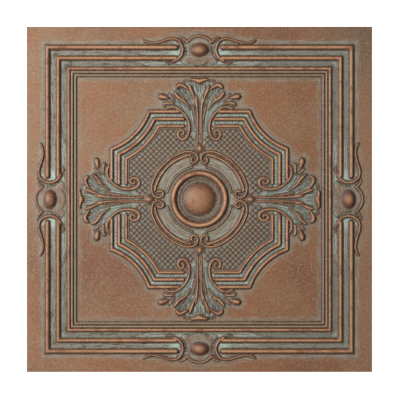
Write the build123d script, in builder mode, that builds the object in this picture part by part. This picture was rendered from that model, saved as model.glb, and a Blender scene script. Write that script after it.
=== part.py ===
from build123d import *
import math
import os

os.makedirs("parts", exist_ok=True)

# A 24 inch lay-in tile is made a quarter inch short of its grid cell.
tile_side = 603.0
sheet = 0.8

# Pressed strokes have sloping sides, so that the sheet draws over the die without tearing.
draft = 35.0

# Square frame, set in from the tile's edge: two heavy beads, a lighter one and two reeds.
half_side = tile_side / 2
outer_bead_at = half_side - 36.5
middle_bead_at = half_side - 55.3
inner_bead_at = half_side - 73.6
outer_reed_at = half_side - 79.5
inner_reed_at = half_side - 85.1
outer_bead_half = 4.2
middle_bead_half = 3.9
inner_bead_half = 3.0
outer_reed_half = 2.6
inner_reed_half = 2.2
roundness = 0.95
bead_start = 40.5

# Plaque: three ridges, straight on the sides and scooped in at the corners round one centre.
plaque_corner_at = 188.5
plaque_corner_radius = 107.1
plaque_outer_at = 153.0
plaque_middle_at = 140.0
plaque_inner_at = 127.5
plaque_outer_start = 37.0
plaque_start = 28.0
plaque_half = 3.3
plaque_rise = 3.0
plaque_inner_half = 2.6
plaque_inner_rise = 2.4

# Centre boss: a low dome, a heavy ring and two fine rings.
dome_radius = 28.5
dome_rise = 8.0
fine_ring_radius = 36.3
fine_ring_half = 1.2
fine_ring_rise = 0.9
boss_ring_radius = 45.5
boss_ring_half = 5.0
boss_ring_rise = 4.6
edge_ring_radius = 57.0
edge_ring_half = 1.4
edge_ring_rise = 1.0

# Scrolls round the boss: a rim that rolls up at both ends, and a plain band inside it.
scroll_radius = 86.6
scroll_band_radius = 79.2
scroll_half = 1.9
scroll_rise = 1.9

# Palmette: its two long scrolls, its lobes and the low ground that they stand on.
volute_half = 2.1
volute_rise = 2.2
lobe_rise = 2.4
ground_rise = 0.8

# Cartouche on the middle of each side of the frame.
egg_at = half_side - 40.3
egg_half_width = 10.3
egg_arc_radius = 19.6
egg_steps = 8
egg_rise = 6.0
collar_radius = 24.6
claw_half = 1.9
claw_rise = 2.0


def bead_section(plane, half_width, hollow):
    """Round section of a bead, or of the groove that follows it on the back."""
    rise = half_width * roundness
    radius = (half_width**2 + rise**2) / (2 * rise)
    centre = sheet + rise - radius
    reach = half_width
    foot = sheet
    root = sheet / 2
    if hollow:
        radius = radius - sheet
        foot = 0.0
        root = -1.0
        reach = math.sqrt(radius**2 - centre**2)
    with BuildSketch(plane) as section:
        with BuildLine():
            Polyline((reach, foot), (reach, root), (-reach, root), (-reach, foot))
            ThreePointArc((-reach, foot), (0, centre + radius), (reach, foot))
        make_face()
    return section.sketch


def square_bead(at, half_width, hollow):
    """One mitred bead of the square frame."""
    with BuildLine(mode=Mode.PRIVATE) as square:
        Polyline((0, at), (at, at), (at, -at), (-at, -at), (-at, at), (0, at))
    across = Plane(origin=(0, at, 0), x_dir=(0, 1, 0), z_dir=(1, 0, 0))
    section = bead_section(across, half_width, hollow)
    sweep(sections=section, path=square.wires()[0], transition=Transition.RIGHT)


def corner_bead(at, half_width, hollow):
    """A heavy bead round one corner of the frame, from the claw of one cartouche to the next."""
    with BuildLine(mode=Mode.PRIVATE) as bend:
        Polyline((bead_start, at), (at, at), (at, bead_start))
    across = Plane(origin=(bead_start, at, 0), x_dir=(0, 1, 0), z_dir=(1, 0, 0))
    section = bead_section(across, half_width, hollow)
    sweep(sections=section, path=bend.wires()[0], transition=Transition.RIGHT)


def stroke(line, half_width, rise, hollow):
    """A ridge with sloping sides and a flat crown along a line, or the groove that follows it."""
    slope = math.tan(math.radians(draft))
    reach = half_width
    foot = sheet
    root = sheet / 2
    if hollow:
        reach = half_width - sheet * (math.hypot(1, slope) - slope)
        foot = 0.0
        root = -1.0
    crown = reach - slope * rise
    wire = line.wires()[0]
    along = wire % 0
    across = Plane(origin=wire @ 0, x_dir=Vector(0, 0, 1).cross(along), z_dir=along)
    with BuildSketch(across) as section:
        with BuildLine():
            Polyline((reach, foot), (crown, foot + rise), (-crown, foot + rise), (-reach, foot))
            Polyline((-reach, foot), (-reach, root), (reach, root), (reach, foot))
        make_face()
    sweep(sections=section.sketch, path=wire, transition=Transition.RIGHT)


def lobe(start, bend, end, half_width, rise, widest=0.5):
    """A leaf lobe: two arcs that meet at its ends, drawn up to a narrow crest."""
    with BuildLine(mode=Mode.PRIVATE):
        spine = ThreePointArc(start, bend, end)
    aside = (spine % widest).rotate(Axis.Z, 90) * half_width
    with BuildSketch(Plane.XY.offset(sheet)) as foot:
        with BuildLine():
            ThreePointArc(spine @ 0, spine @ widest + aside, spine @ 1)
            ThreePointArc(spine @ 1, spine @ widest - aside, spine @ 0)
        make_face()
    with BuildSketch(Plane.XY.offset(sheet + rise)) as crest:
        with BuildLine():
            ThreePointArc(spine @ 0.15, spine @ widest + aside * 0.35, spine @ 0.88)
            ThreePointArc(spine @ 0.88, spine @ widest - aside * 0.35, spine @ 0.15)
        make_face()
    loft(sections=[foot.sketch, crest.sketch], ruled=True)


def ring(radius, half_width, rise, hollow):
    """A ring about the tile's centre, turned from a section with two slopes on each side."""
    inset = sheet if hollow else 0.0
    base = 0.0 if hollow else sheet
    outer = half_width - inset * 0.6
    shoulder = half_width * 0.66 - inset * 0.75
    with BuildSketch(Plane.XZ) as section:
        with BuildLine():
            Polyline(
                (radius - outer, base),
                (radius - shoulder, base + rise * 0.72),
                (radius - shoulder * 0.4, base + rise),
                (radius + shoulder * 0.4, base + rise),
                (radius + shoulder, base + rise * 0.72),
                (radius + outer, base),
                close=True,
            )
        make_face()
    revolve(section.sketch, axis=Axis.Z)


def dome(hollow):
    """The smooth dome of the boss."""
    radius = (dome_radius**2 + dome_rise**2) / (2 * dome_rise)
    centre = sheet + dome_rise - radius
    reach = dome_radius
    base = sheet
    if hollow:
        radius = radius - sheet
        reach = math.sqrt(radius**2 - centre**2)
        base = 0.0
    with BuildSketch(Plane.XZ) as section:
        with BuildLine():
            RadiusArc((0, centre + radius), (reach, base), radius)
            Polyline((reach, base), (0, base), (0, centre + radius))
        make_face()
    revolve(section.sketch, axis=Axis.Z)


def egg(hollow):
    """The egg of a cartouche: an arc in short steps, turned about its length and cut off at the sheet."""
    inset = sheet if hollow else 0.0
    base = 0.0 if hollow else sheet
    centre = sheet + egg_rise - egg_half_width
    radius = egg_arc_radius - inset
    width = egg_half_width - inset
    tip = math.sqrt(radius**2 - (radius - width) ** 2)
    with BuildLine(mode=Mode.PRIVATE):
        outline = ThreePointArc((-tip, 0), (0, width), (tip, 0))
    with BuildPart(mode=Mode.PRIVATE) as turned:
        with BuildSketch(Plane(origin=(0, egg_at, centre), x_dir=(1, 0, 0), z_dir=(0, -1, 0))):
            with BuildLine():
                Polyline([outline @ (step / egg_steps) for step in range(egg_steps + 1)], close=True)
            make_face()
        revolve(axis=Axis((0, egg_at, centre), (1, 0, 0)))
        split(bisect_by=Plane.XY.offset(base), keep=Keep.TOP)
    return turned.part


def plaque_ridge(at, start, half_width, rise, hollow):
    """One ridge round a corner of the plaque, from one palmette to the next."""
    radius = plaque_corner_radius + plaque_outer_at - at
    bend = plaque_corner_at - math.sqrt(radius**2 - (plaque_corner_at - at) ** 2)
    middle = plaque_corner_at - radius / math.sqrt(2)
    with BuildLine(mode=Mode.PRIVATE) as ridge:
        Line((start, at), (bend, at))
        ThreePointArc((bend, at), (middle, middle), (at, bend))
        Line((at, bend), (at, start))
    stroke(ridge, half_width, rise, hollow)


def corner(hollow):
    """What lies between two sides' ornament: heavy beads, the plaque's ridges and, on the face, scrolls."""
    with BuildPart() as forms:
        corner_bead(outer_bead_at, outer_bead_half, hollow)
        corner_bead(middle_bead_at, middle_bead_half, hollow)
        plaque_ridge(plaque_outer_at, plaque_outer_start, plaque_half, plaque_rise, hollow)
        plaque_ridge(plaque_middle_at, plaque_start, plaque_half, plaque_rise, hollow)
        plaque_ridge(plaque_inner_at, plaque_start, plaque_inner_half, plaque_inner_rise, hollow)
        if not hollow:
            with BuildLine(mode=Mode.PRIVATE) as scroll:
                rim = CenterArc((0, 0), scroll_radius, 16, 58)
                left = JernArc(start=rim @ 1, tangent=rim % 1, radius=14, arc_size=66)
                left_roll = JernArc(start=left @ 1, tangent=left % 1, radius=8, arc_size=110)
                JernArc(start=left_roll @ 1, tangent=left_roll % 1, radius=4.3, arc_size=140)
                right = JernArc(start=rim @ 0, tangent=-(rim % 0), radius=14, arc_size=-66)
                right_roll = JernArc(start=right @ 1, tangent=right % 1, radius=8, arc_size=-110)
                JernArc(start=right_roll @ 1, tangent=right_roll % 1, radius=4.3, arc_size=-140)
            stroke(scroll, scroll_half, scroll_rise, False)
            with BuildLine(mode=Mode.PRIVATE) as band:
                CenterArc((0, 0), scroll_band_radius, 12, 66)
            stroke(band, scroll_half, scroll_rise, False)
            with BuildLine(mode=Mode.PRIVATE) as edge_ring:
                CenterArc((0, 0), edge_ring_radius, 14, 62)
            stroke(edge_ring, edge_ring_half, edge_ring_rise, False)
    return forms.part


def palmette_half():
    """The right half of a palmette: a long scroll and the lobes that fan out above it."""
    with BuildPart() as forms:
        with BuildLine(mode=Mode.PRIVATE) as volute:
            cap = JernArc(
                start=(57.7, 158.0),
                tangent=Vector(-1, 0).rotate(Axis.Z, -27),
                radius=23.7,
                arc_size=63,
            )
            side = JernArc(start=cap @ 1, tangent=cap % 1, radius=37, arc_size=82)
            bowl = JernArc(start=side @ 1, tangent=side % 1, radius=8.2, arc_size=215)
            JernArc(start=bowl @ 1, tangent=bowl % 1, radius=4.4, arc_size=130)
        stroke(volute, volute_half, volute_rise, False)
        lobe((18.0, 190.0), (29.5, 200.0), (40.5, 196.0), 2.6, lobe_rise, 0.6)
        lobe((7.0, 170.0), (12.3, 186.0), (16.6, 199.5), 3.0, lobe_rise, 0.6)
        lobe((3.6, 112.0), (3.3, 150.0), (5.8, 182.0), 1.5, lobe_rise * 0.7)
        lobe((17.0, 158.0), (28.0, 172.2), (43.5, 188.5), 2.4, lobe_rise, 0.6)
        lobe((44.0, 172.0), (48.9, 177.4), (54.0, 185.2), 1.5, lobe_rise * 0.7)
        lobe((53.0, 175.2), (61.0, 178.0), (70.5, 179.3), 4.4, lobe_rise, 0.7)
        lobe((43.0, 166.5), (53.0, 168.4), (63.3, 165.3), 2.1, lobe_rise, 0.6)
        with BuildSketch(Plane.XY.offset(sheet)) as ground:
            with BuildLine():
                ThreePointArc((0, 206.5), (24, 207), (41.5, 199))
                Line((41.5, 199), (45.5, 189))
                ThreePointArc((45.5, 189), (60, 187), (71.5, 180))
                ThreePointArc((71.5, 180), (67, 168.5), (59, 159))
                ThreePointArc((59, 159), (33, 154.5), (18.5, 138))
                ThreePointArc((18.5, 138), (15, 117), (0, 104))
                Line((0, 104), (0, 206.5))
            make_face()
        extrude(ground.sketch, amount=ground_rise)
    return forms.part


def cartouche_half():
    """The right half of a cartouche: a claw that ends in a long tail, and the collar's rolled end."""
    with BuildPart() as forms:
        with BuildLine(mode=Mode.PRIVATE) as claw:
            hook = JernArc(
                start=(43.5, egg_at - 20.3),
                tangent=Vector(-1, 0).rotate(Axis.Z, -16),
                radius=20,
                arc_size=-192,
            )
            tail = JernArc(start=hook @ 1, tangent=hook % 1, radius=60, arc_size=-6)
            JernArc(start=tail @ 1, tangent=tail % 1, radius=42, arc_size=58)
        stroke(claw, claw_half, claw_rise, False)
    return forms.part


def middle_forms():
    """What lies on the axis of one side: the collar, the crown of the palmette and the bead below."""
    with BuildPart() as forms:
        with BuildLine(mode=Mode.PRIVATE) as collar:
            CenterArc((0, egg_at - 0.8), collar_radius, 35, 110)
        stroke(collar, claw_half, claw_rise, False)
        with BuildSketch(Plane.XY.offset(sheet)) as crown:
            with BuildLine():
                ThreePointArc((14, 207.5), (0, 211), (-14, 207.5))
                ThreePointArc((-14, 207.5), (0, 202.3), (14, 207.5))
            make_face()
        extrude(crown.sketch, amount=lobe_rise, taper=draft)
        with BuildSketch(Plane.XY.offset(sheet)) as bead:
            with Locations((0, 88.7)):
                RegularPolygon(radius=5.8, side_count=4)
            fillet(bead.vertices(), radius=1.2)
        extrude(bead.sketch, amount=lobe_rise, taper=draft)
    return forms.part


def side_forms():
    """All the ornament of one side of the tile, both halves."""
    with BuildPart() as forms:
        add(palmette_half())
        add(cartouche_half())
        mirror(about=Plane.YZ)
        add(middle_forms())
        add(egg(False))
    return forms.part


def face_of_tile():
    """Everything that stands up from the face of the sheet."""
    with BuildPart() as forms:
        square_bead(inner_bead_at, inner_bead_half, False)
        square_bead(outer_reed_at, outer_reed_half, False)
        square_bead(inner_reed_at, inner_reed_half, False)
        dome(False)
        ring(boss_ring_radius, boss_ring_half, boss_ring_rise, False)
        with BuildLine(mode=Mode.PRIVATE) as fine_ring:
            CenterArc((0, 0), fine_ring_radius, 0, 360)
        stroke(fine_ring, fine_ring_half, fine_ring_rise, False)
        with PolarLocations(0, 4):
            add(corner(False))
            add(side_forms())
    return forms.part


def back_of_tile():
    """The hollows that follow the larger forms on the back of the sheet."""
    with BuildPart() as forms:
        square_bead(inner_bead_at, inner_bead_half, True)
        square_bead(outer_reed_at, outer_reed_half, True)
        square_bead(inner_reed_at, inner_reed_half, True)
        dome(True)
        ring(boss_ring_radius, boss_ring_half, boss_ring_rise, True)
        with PolarLocations(0, 4):
            add(corner(True))
            add(egg(True))
    return forms.part


with BuildPart() as ceiling_tile:
    Box(tile_side, tile_side, sheet, align=(Align.CENTER, Align.CENTER, Align.MIN))
    add(face_of_tile())
    add(back_of_tile(), mode=Mode.SUBTRACT)
ceiling_tile.part.label = "ceiling_tile"
export_step(ceiling_tile.part, "parts/ceiling_tile.step")
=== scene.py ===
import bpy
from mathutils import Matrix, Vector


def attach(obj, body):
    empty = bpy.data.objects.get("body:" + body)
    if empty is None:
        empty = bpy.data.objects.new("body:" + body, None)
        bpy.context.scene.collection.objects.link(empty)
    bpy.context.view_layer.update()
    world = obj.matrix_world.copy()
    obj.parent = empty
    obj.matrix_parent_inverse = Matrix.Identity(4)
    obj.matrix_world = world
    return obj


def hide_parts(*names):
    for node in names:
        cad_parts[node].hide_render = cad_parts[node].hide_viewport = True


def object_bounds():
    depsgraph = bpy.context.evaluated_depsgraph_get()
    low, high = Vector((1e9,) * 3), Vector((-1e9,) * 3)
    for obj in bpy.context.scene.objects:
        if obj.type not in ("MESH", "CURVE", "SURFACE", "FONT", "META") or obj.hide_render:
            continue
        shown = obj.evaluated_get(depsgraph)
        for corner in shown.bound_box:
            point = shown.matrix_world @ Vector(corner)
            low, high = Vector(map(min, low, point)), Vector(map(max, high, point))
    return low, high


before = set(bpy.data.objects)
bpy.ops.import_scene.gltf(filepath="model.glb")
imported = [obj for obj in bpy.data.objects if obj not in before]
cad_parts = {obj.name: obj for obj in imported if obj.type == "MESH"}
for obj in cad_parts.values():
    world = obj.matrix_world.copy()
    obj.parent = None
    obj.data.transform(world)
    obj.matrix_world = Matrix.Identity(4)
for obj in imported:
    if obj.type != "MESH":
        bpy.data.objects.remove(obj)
cad_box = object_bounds()
print("the solid's box, m:", [[round(v, 4) for v in corner] for corner in cad_box])

# %% [markdown]
# # A pressed ceiling tile with an antique copper finish
#
# The real tile is one thin square sheet. It is drawn over a mould, so its back follows its face, and then it is
# coated: copper colour all over, a dark brown wash that stays in the tight corners, and a grey-green verdigris
# that is dabbed into the low ground and wiped off the high ridges. Here the relief is worked out as a height
# for each point of the sheet, in millimetres, and the same sums say where the wash and the verdigris lie.

# %% Tools and units
import math

import bpy
import numpy as np
from mathutils import Vector
from mathutils.geometry import delaunay_2d_cdt

MM = 0.001
low, high = cad_box
tile_side = (high[0] - low[0]) / MM
half_side = tile_side / 2
sheet = 0.8
print("tile side, mm:", round(tile_side, 2))


# %% [markdown]
# ## Camera
#
# The tile lies flat and the camera looks straight down on it from well above, so its sides stay parallel in the
# picture. The frame is 416 pixels wide, and the tile's side takes 345.3 of them. The camera stands a little to the
# lower right, so the tile sits towards the upper left of the picture.

# %% Camera
picture_pixels = 416
tile_pixels = 345.3
picture_width = tile_side * picture_pixels / tile_pixels
picture_centre = (15.0, -15.2)
lens_mm = 90.0
sensor_mm = 36.0
camera_height = picture_width * lens_mm / sensor_mm

camera_data = bpy.data.cameras.new("camera")
camera_data.lens = lens_mm
camera_data.sensor_width = sensor_mm
camera = bpy.data.objects.new("camera", camera_data)
camera.location = (picture_centre[0] * MM, picture_centre[1] * MM, camera_height * MM)
bpy.context.collection.objects.link(camera)
bpy.context.scene.camera = camera
print("camera height, mm:", round(camera_height))


# %% [markdown]
# ## Folding the pattern
#
# All four sides of the tile carry the same ornament, and each side is the same left and right. So every point can
# be folded into one narrow triangle: q is how far out it lies towards its nearest side, and p is how far it lies
# from the middle of that side. The relief is described once, in p and q, and shows eight times.
#
# A ridge is given by its distance from a line. From foot to crest its height is a rounded hump, steeper at the foot.

# %% Round sections and smooth lines
def hump(share):
    """Height of a ridge, 0 at its foot and 1 on its crest, from the share of its half width away from its line."""
    return np.clip(1 - share**2, 0, 1) ** 0.72


def ease(x, start, end):
    """Goes smoothly from 0 to 1 as x goes from start to end."""
    t = np.clip((x - start) / (end - start), 0, 1)
    return t * t * (3 - 2 * t)


def smooth_line(knots, step=1.0):
    """Points about one step apart on a smooth curve through the knots; every column of the knots is carried along."""
    knots = np.array(knots, float)
    wide = np.vstack([2 * knots[0] - knots[1], knots, 2 * knots[-1] - knots[-2]])
    stretches = []
    for a, b, c, d in zip(wide, wide[1:], wide[2:], wide[3:]):
        count = max(2, int(np.linalg.norm((c - b)[:2]) / step))
        t = np.linspace(0, 1, count, endpoint=False)[:, None]
        bend = 2 * a - 5 * b + 4 * c - d
        twist = 3 * b - a - 3 * c + d
        stretches.append(0.5 * (2 * b + (c - a) * t + bend * t**2 + twist * t**3))
    stretches.append(knots[-1:])
    return np.vstack(stretches)


# %% [markdown]
# ## Strokes of the ornament
#
# The carver of the mould drew the scrolls and leaves as strokes that swell and taper. Each stroke here is a few
# listed points along its middle line. A point is p, q and half the stroke's width there, all in millimetres,
# and each stroke has the height of its crest.

# %% Palmette strokes
strokes = {}
strokes["long_scroll"] = (2.8, [
    (58.6, 156.9, 1.5), (54.0, 159.6, 2.1), (49.0, 160.9, 2.2), (44.0, 160.8, 2.2), (38.5, 159.1, 2.2),
    (31.4, 154.0, 2.1), (24.5, 146.4, 2.1), (19.9, 138.0, 2.1), (17.7, 128.5, 2.1), (17.9, 118.2, 2.2),
    (20.2, 111.4, 2.4), (24.2, 106.2, 2.5), (29.4, 104.4, 2.5), (34.3, 106.6, 2.4), (36.9, 111.6, 2.3),
    (35.9, 117.7, 2.1), (31.6, 120.6, 2.0), (28.0, 118.8, 2.0), (26.7, 115.4, 1.9), (28.4, 112.6, 1.9),
    (30.4, 112.4, 1.9)])
strokes["top_leaf"] = (3.8, [
    (17.6, 190.6, 0.7), (21.5, 193.4, 1.8), (25.5, 196.2, 2.7), (30.0, 198.6, 3.6), (34.6, 199.0, 4.1),
    (38.0, 196.8, 3.3), (39.8, 193.2, 1.1)])
strokes["upright_leaf"] = (3.3, [
    (5.2, 166.0, 1.0), (7.6, 172.8, 1.5), (9.8, 179.4, 1.7), (12.4, 185.8, 2.7), (14.8, 191.2, 3.4),
    (16.2, 195.6, 2.6), (16.8, 199.6, 0.8)])
strokes["inner_stem"] = (2.4, [
    (3.4, 113.0, 1.5), (3.2, 130.0, 1.6), (3.4, 150.0, 1.6), (4.3, 164.0, 1.9), (5.2, 173.0, 2.1),
    (5.8, 179.5, 1.6), (6.0, 182.5, 0.6)])
strokes["thin_stem"] = (1.7, [
    (5.7, 127.0, 0.6), (6.6, 137.0, 1.0), (8.3, 147.5, 1.1), (10.2, 156.0, 1.3), (11.6, 164.5, 0.8)])
strokes["middle_leaf"] = (3.4, [
    (16.6, 157.0, 0.7), (19.3, 162.6, 1.4), (23.4, 168.0, 1.8), (28.0, 172.0, 2.4), (33.0, 175.0, 2.6),
    (37.6, 179.0, 3.0), (41.2, 183.4, 2.6), (43.6, 187.8, 0.9)])
strokes["leaf_barb"] = (2.0, [(25.6, 170.6, 1.3), (27.6, 175.0, 1.4), (28.8, 180.0, 0.5)])
strokes["short_leaf"] = (1.9, [
    (44.4, 172.6, 0.6), (47.6, 176.6, 1.7), (50.6, 180.4, 2.1), (53.4, 184.8, 0.8)])
strokes["ball_leaf"] = (4.0, [
    (53.0, 175.9, 0.7), (57.6, 177.0, 2.2), (61.5, 178.2, 4.3), (65.2, 178.9, 5.4), (68.0, 179.4, 4.4)])
strokes["low_leaf"] = (2.7, [
    (43.6, 166.8, 0.6), (49.0, 167.6, 1.8), (54.6, 167.9, 2.2), (59.6, 167.0, 2.8), (62.4, 165.2, 1.8)])
strokes["crown"] = (3.4, [
    (-15.8, 208.6, 0.8), (-10.0, 208.4, 2.6), (-4.8, 207.4, 3.6), (0.0, 206.3, 5.2), (4.8, 207.4, 3.6),
    (10.0, 208.4, 2.6), (15.8, 208.6, 0.8)])
strokes["crown_wing"] = (0.8, [(18.0, 205.4, 0.7), (22.0, 206.4, 1.1), (27.0, 206.0, 0.6)])
strokes["sheath"] = (1.2, [(3.4, 99.5, 1.2), (3.6, 106.0, 1.3), (3.4, 113.0, 1.2)])
print("palmette strokes:", len(strokes))

# %% [markdown]
# The scroll round the boss is a long arc that rolls up at both ends, so its knots mix a true arc with a drawn
# curl. The cartouche's claw hugs the ends of the two heavy beads and runs out along the margin as a long tail.

# %% Scroll and cartouche strokes
scroll_radius = 86.6
scroll_band_radius = 79.2
edge_ring_radius = 57.0


def arc(radius, start, end, half_width, count):
    """Knots on a circle about the tile's centre, with angles in degrees from the q axis."""
    angles = np.radians(np.linspace(start, end, count))
    return [(radius * math.sin(a), radius * math.cos(a), half_width) for a in angles]


curl = [
    (24.0, 82.9, 1.8), (18.6, 82.9, 1.9), (13.0, 82.4, 1.9), (8.6, 80.8, 1.9), (4.9, 77.6, 1.9), (3.0, 73.0, 1.9),
    (3.2, 68.4, 1.9), (5.5, 64.8, 1.9), (9.4, 63.0, 2.0), (12.9, 64.4, 2.0), (14.3, 67.7, 2.1), (12.9, 71.2, 2.2)]
across_the_diagonal = [(q, p, w) for p, q, w in curl]
strokes["scroll"] = (2.8, curl[::-1] + arc(scroll_radius, 20, 70, 1.9, 8) + across_the_diagonal)
strokes["scroll_band"] = (2.3, arc(scroll_band_radius, 11, 79, 2.3, 9))
strokes["edge_ring"] = (1.2, arc(edge_ring_radius, 13, 77, 1.3, 9))
strokes["claw"] = (3.0, [
    (45.0, 240.2, 1.0), (42.0, 241.8, 2.0), (37.6, 244.4, 2.4), (33.2, 248.8, 2.5), (30.2, 254.0, 2.5),
    (28.9, 260.8, 2.5), (30.2, 267.2, 2.4), (33.4, 273.2, 2.2), (38.0, 277.8, 2.0), (44.0, 279.7, 1.9),
    (51.0, 279.6, 1.9), (59.0, 277.6, 1.8), (67.0, 275.1, 1.7), (75.0, 272.9, 1.6), (82.0, 272.4, 1.5),
    (88.5, 273.2, 1.5), (94.0, 275.4, 1.6), (98.0, 277.8, 0.9)])
strokes["claw_link"] = (1.6, [(21.8, 274.4, 1.4), (24.6, 277.8, 1.6), (28.6, 280.9, 1.4), (34.5, 282.6, 0.7)])
strokes["collar"] = (2.4, [
    (-15.0, 279.9, 1.7), (-8.0, 283.6, 1.7), (0.0, 284.9, 1.7), (8.0, 283.6, 1.7), (15.0, 279.9, 1.7),
    (20.2, 275.2, 1.8), (22.0, 273.6, 1.5)])
strokes["inner_tail"] = (1.0, [(46.0, 238.6, 0.7), (51.0, 237.7, 1.1), (57.0, 238.6, 0.5)])
lines = {name: smooth_line(knots) for name, (rise, knots) in strokes.items()}
print("strokes in all:", len(strokes), "with", sum(len(line) for line in lines.values()), "points")


# %% [markdown]
# ## Straight and turned forms
#
# The frame is made of beads that run along all four sides, the plaque of three ridges with scooped corners, and the
# boss of turned rings round a dome. A formula gives the distance from each of these, so they need no drawn points.

# %% Beads, ridges and rings
# A bead or ridge is its name, its line's distance from the tile's centre, its half width, its rise, and how far
# from the side's middle it starts. A start below 0 means that it runs all round.
frame_beads = [
    ("outer_bead", half_side - 36.5, 4.3, 4.0, 40.5),
    ("middle_bead", half_side - 55.3, 4.0, 3.8, 41.0),
    ("inner_bead", half_side - 73.6, 3.2, 2.9, -1.0),
    ("outer_reed", half_side - 79.5, 2.6, 2.4, -1.0),
    ("inner_reed", half_side - 85.1, 2.3, 2.0, -1.0),
]
plaque_corner = 188.5
plaque_fillet_at = 123.9
plaque_ridges = [
    ("plaque_outer_ridge", 153.0, 3.3, 3.0, 36.0),
    ("plaque_middle_ridge", 140.0, 3.3, 3.0, 28.0),
    ("plaque_inner_ridge", 127.5, 2.7, 2.4, 28.0),
    ("plaque_fillet", plaque_fillet_at, 0.9, 0.7, 30.0),
]
scoop_radius = 107.1
plaque_corner_radius = scoop_radius + 153.0
boss_ring_radius, boss_ring_half = 45.5, 5.1
fine_ring_radius = 36.3
boss_rings = [("boss_ring", boss_ring_radius, boss_ring_half, 4.6), ("fine_ring", fine_ring_radius, 1.2, 0.9)]
dome_radius = 28.5
dome_rise = 8.0
egg_middle = (0.0, 260.6)
egg_reach = (15.6, 10.8)
egg_rise = 7.0
pearl_at = 88.6
pearl_half = 7.3
pearl_rise = 3.6
pearl_squareness = 0.16
print("beads, ridges and rings:", ", ".join(form[0] for form in frame_beads + plaque_ridges + boss_rings))


def ridge_distance(p, q, at, start):
    """Distance from a plaque ridge: a straight run and an arc about the plaque's corner point."""
    radius = plaque_corner_radius - at
    bend = plaque_corner - math.sqrt(radius**2 - (plaque_corner - at) ** 2)
    straight = np.hypot(q - at, p - np.clip(p, start, bend))
    round_corner = np.abs(np.hypot(plaque_corner - p, plaque_corner - q) - radius)
    first_turn = math.atan2(plaque_corner - at, plaque_corner - bend)
    by_the_scoop = np.arctan2(plaque_corner - q, plaque_corner - p) > first_turn
    return np.where(by_the_scoop, np.minimum(straight, round_corner), straight)


# %% [markdown]
# ## The height of the sheet
#
# `Relief` lays forms over each other and keeps the highest. It also keeps what the finish needs: `lift`, 0 at the
# foot of a form and 1 on its crest; `gap`, the distance outside the nearest form; and `dull`, 1 on the thin forms
# that the wiping left under the verdigris.
#
# `pressed_forms` lays what shows on both sides of the sheet. With an inset, every form is that much narrower, which
# gives the back. `face_forms` adds what only the face has, and how far inside the palmette and the plate a point is.

# %% Laying the forms together
dull_forms = {"outer_reed", "inner_reed", "plaque_fillet", "fine_ring", "edge_ring", "crown_wing", "inner_tail"}
widest_gap = 14.0
full_rise_half = 1.6  # a stroke with a smaller half width is lower too

# How well the cloth reached the dome and the eggs: the lift on top, and how fast it falls towards the foot.
dome_rub, dome_rub_fall = 0.845, 0.12
egg_rub, egg_rub_fall = 0.88, 0.8


class Relief:
    """Height, lift and gap for an array of folded points."""

    def __init__(self, p, q):
        self.height = np.zeros_like(p)
        self.lift = np.zeros_like(p)
        self.dull = np.zeros_like(p)
        self.gap = np.full_like(p, widest_gap)

    def lay(self, name, distance, half_width, rise, where=slice(None)):
        """Adds one form, given as a distance from its line."""
        lift = hump(np.minimum(distance / half_width, 1))
        height = lift * rise
        higher = height > self.height[where]
        self.height[where] = np.where(higher, height, self.height[where])
        self.lift[where] = np.where(higher, lift, self.lift[where])
        self.dull[where] = np.where(higher, float(name in dull_forms), self.dull[where])
        self.gap[where] = np.minimum(self.gap[where], distance - half_width)


def stroke_distance(p, q, line):
    """Distance from a drawn stroke, as a share of its half width, and that half width."""
    share = np.full(p.shape, 99.0)
    width = np.ones(p.shape)
    for a, b in zip(line, line[1:]):
        run = b[:2] - a[:2]
        t = np.clip(((p - a[0]) * run[0] + (q - a[1]) * run[1]) / (run @ run + 1e-9), 0, 1)
        distance = np.hypot(p - a[0] - t * run[0], q - a[1] - t * run[1])
        half = a[2] + t * (b[2] - a[2])
        nearer = distance / half < share
        share = np.where(nearer, distance / half, share)
        width = np.where(nearer, half, width)
    return share, width


plate_outline = smooth_line([
    (-6.0, 284.0, 0.5), (8.0, 282.5, 0.5), (15.0, 279.0, 0.5), (21.0, 273.5, 0.5), (20.4, 262.0, 0.5),
    (22.0, 252.0, 0.5), (26.0, 245.5, 0.5), (30.0, 240.4, 0.5), (27.5, 237.4, 0.5), (23.0, 236.6, 0.5),
    (18.6, 238.6, 0.5), (16.6, 241.4, 0.5), (13.0, 238.2, 0.5), (7.0, 235.7, 0.5), (0.0, 235.0, 0.5),
    (-6.0, 235.6, 0.5)], 2.0)
palmette_outline = smooth_line([
    (-8.0, 207.0), (0.0, 208.0), (14.0, 206.5), (27.0, 206.0), (38.0, 203.5), (42.5, 197.0), (44.5, 190.0),
    (55.0, 187.0), (66.0, 186.0), (72.5, 180.5), (68.5, 173.0), (65.5, 165.5), (59.0, 158.0), (48.0, 160.0),
    (31.4, 154.0), (19.5, 137.3), (16.5, 122.0), (12.0, 109.0), (5.0, 103.0), (-8.0, 103.0)], 4.0)
ground_rise = 0.8


def depth_inside(p, q, outline):
    """How far a point lies inside a closed outline, in millimetres, and less than 0 outside it."""
    inside = np.zeros(p.shape, bool)
    nearest = np.full(p.shape, 99.0)
    corners = outline[:, :2]
    for a, b in zip(corners, np.roll(corners, -1, axis=0)):
        crosses = (a[1] > q) != (b[1] > q)
        level = (q - a[1]) / np.where(b[1] == a[1], 1e-9, b[1] - a[1])
        inside ^= crosses & (p < a[0] + level * (b[0] - a[0]))
        run = b - a
        t = np.clip(((p - a[0]) * run[0] + (q - a[1]) * run[1]) / (run @ run + 1e-9), 0, 1)
        nearest = np.minimum(nearest, np.hypot(p - a[0] - t * run[0], q - a[1] - t * run[1]))
    return np.where(inside, nearest, -nearest)


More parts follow.
